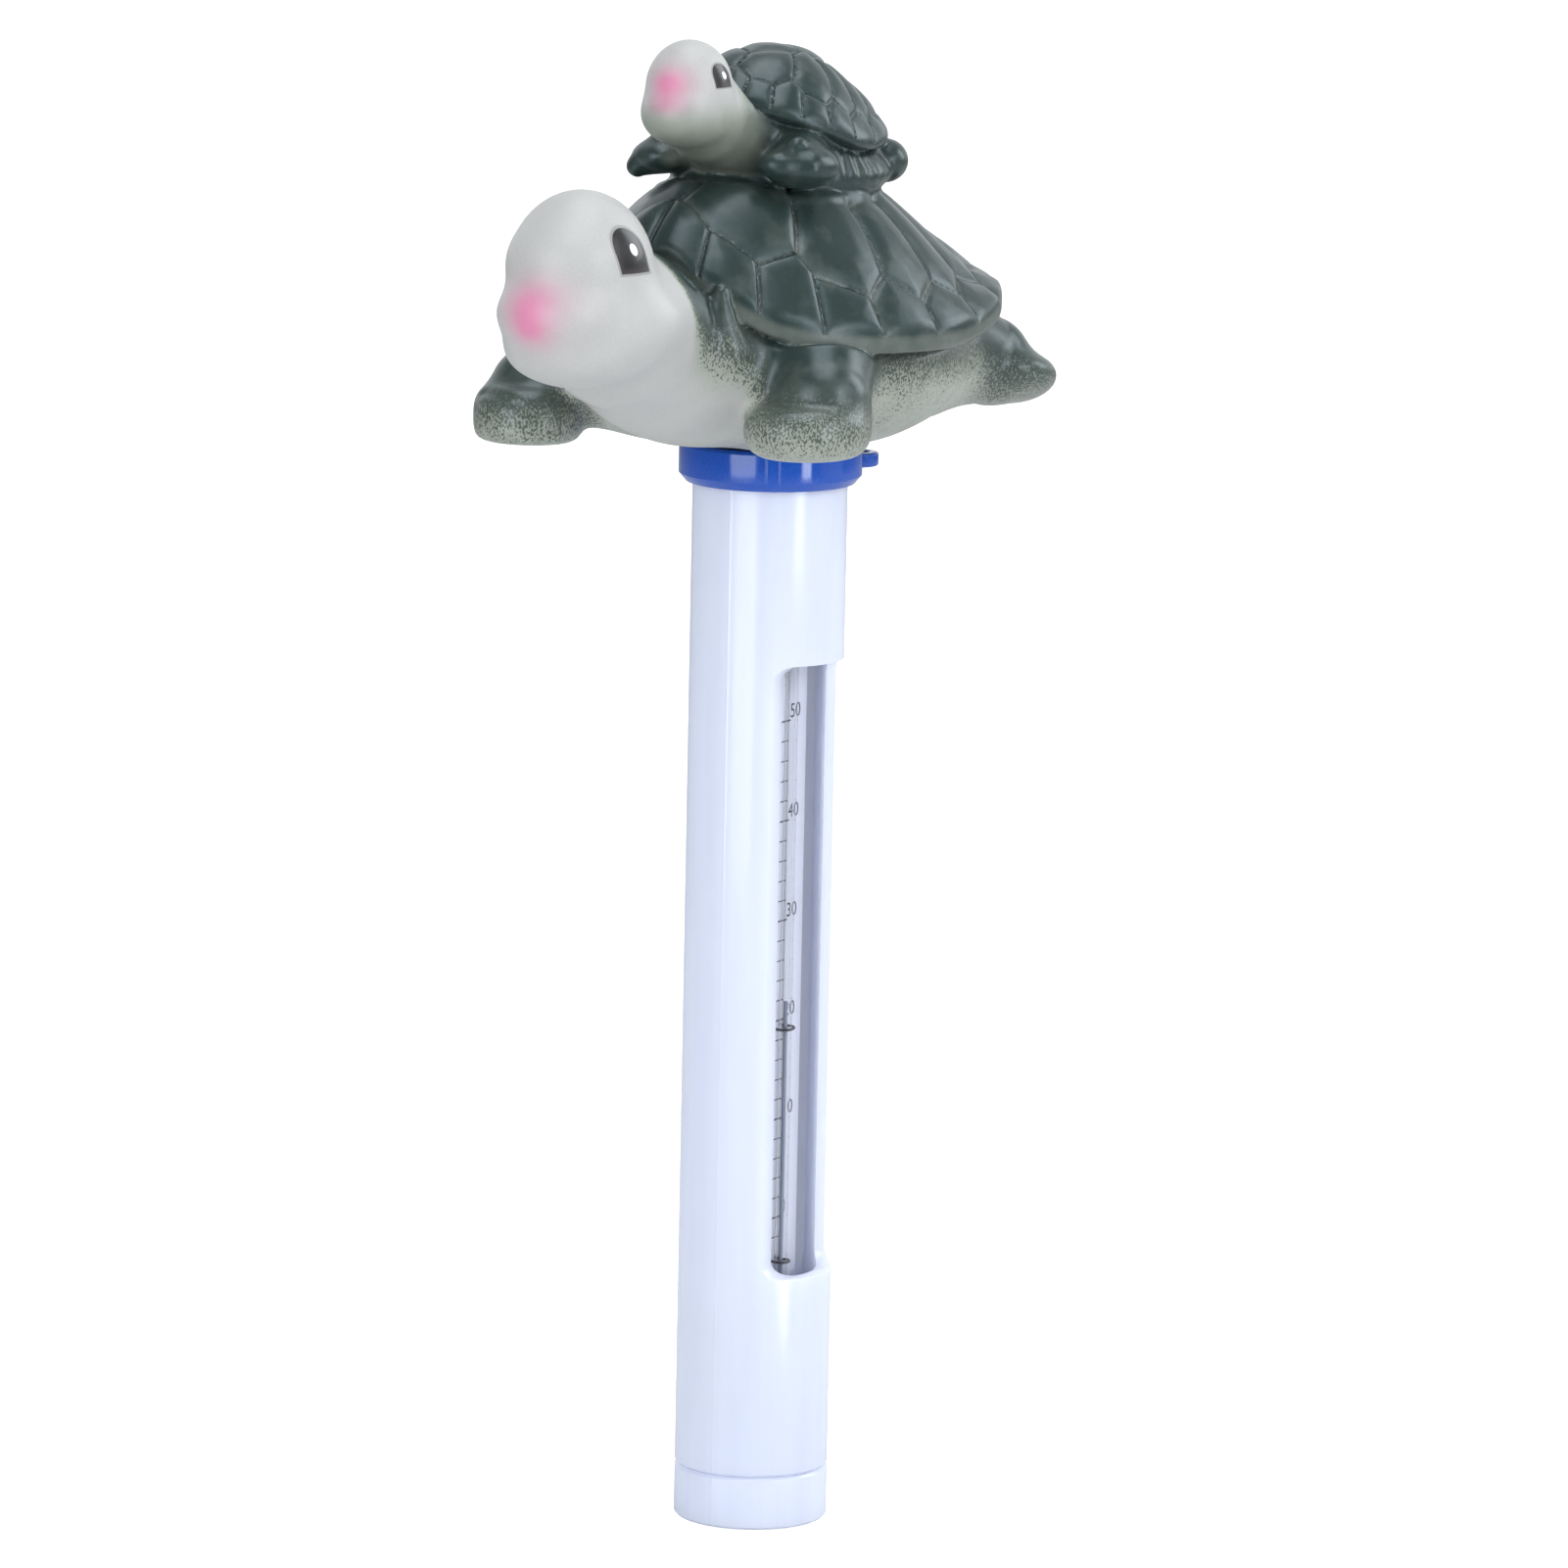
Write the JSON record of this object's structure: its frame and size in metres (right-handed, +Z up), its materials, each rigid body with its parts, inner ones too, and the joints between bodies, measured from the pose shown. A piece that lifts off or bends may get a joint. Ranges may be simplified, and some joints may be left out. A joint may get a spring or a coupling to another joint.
{
  "type": "floating pool thermometer",
  "caption": "Floating pool thermometer: tube casing with a reading window, glass insert, screw collar with cord lug, and a hollow vinyl turtle float.",
  "frame": {"origin": "centre of the flat underside of the end cap, on the tube's axis", "axes": "+Z up along the tube's axis, the turtle faces -Y and its left side is +X, the reading window faces +X"},
  "size_m": [0.0606, 0.106, 0.214],
  "materials": {
    "white_casing": "gloss, moulded",
    "blue_plastic": "gloss, moulded",
    "painted_vinyl": "satin green spray paint on off-white vinyl",
    "clear_envelope": "clear, gloss",
    "capillary_glass": "clear, gloss",
    "scale_card": "satin printed strip",
    "spirit": "liquid, grey-blue",
    "clip_wire": "dark wire",
    "steel": "plain turned",
    "black_rubber": "matte",
    "white_foam": "closed-cell foam, matte"
  },
  "bodies": {
    "casing": {"casing_tube": "white_casing", "end_cap": "white_casing", "ballast_weight": "steel", "rubber_seat": "black_rubber", "lower_ring": "black_rubber", "upper_ring": "black_rubber", "glass_envelope": "clear_envelope", "envelope_stopper": "black_rubber", "foam_spacer": "white_foam", "scale_plate": "scale_card", "capillary_tube": "capillary_glass", "bulb_spirit": "spirit", "clip_lower": "clip_wire", "clip_middle": "clip_wire", "clip_upper": "clip_wire"},
    "spirit": {"spirit_column": "spirit"},
    "seal": {"sealing_washer": "black_rubber"},
    "collar": {"screw_collar": "blue_plastic", "float_plug": "blue_plastic", "plug_screw": "steel", "turtle_figure": "painted_vinyl"}
  },
  "joints": [
    {"name": "spirit_rise", "type": "slide", "parent": "casing", "child": "spirit", "axis": [0, 0, 1], "range_m": [-0.03168, 0.04032], "deforming": ["spirit_column"]},
    {"name": "collar_lift", "type": "slide", "parent": "casing", "child": "seal", "axis": [0, 0, 1], "range_m": [0, 0.0018]},
    {"name": "collar_turn", "type": "hinge", "parent": "seal", "child": "collar", "pos_m": [0, 0, 0.1527], "axis": [0, 0, 1], "range_deg": [0, 540]}
  ],
  "couplings": [
    {"joint": "collar_lift", "follows": "collar_turn", "m_per_rad": 0.00019099}
  ]
}
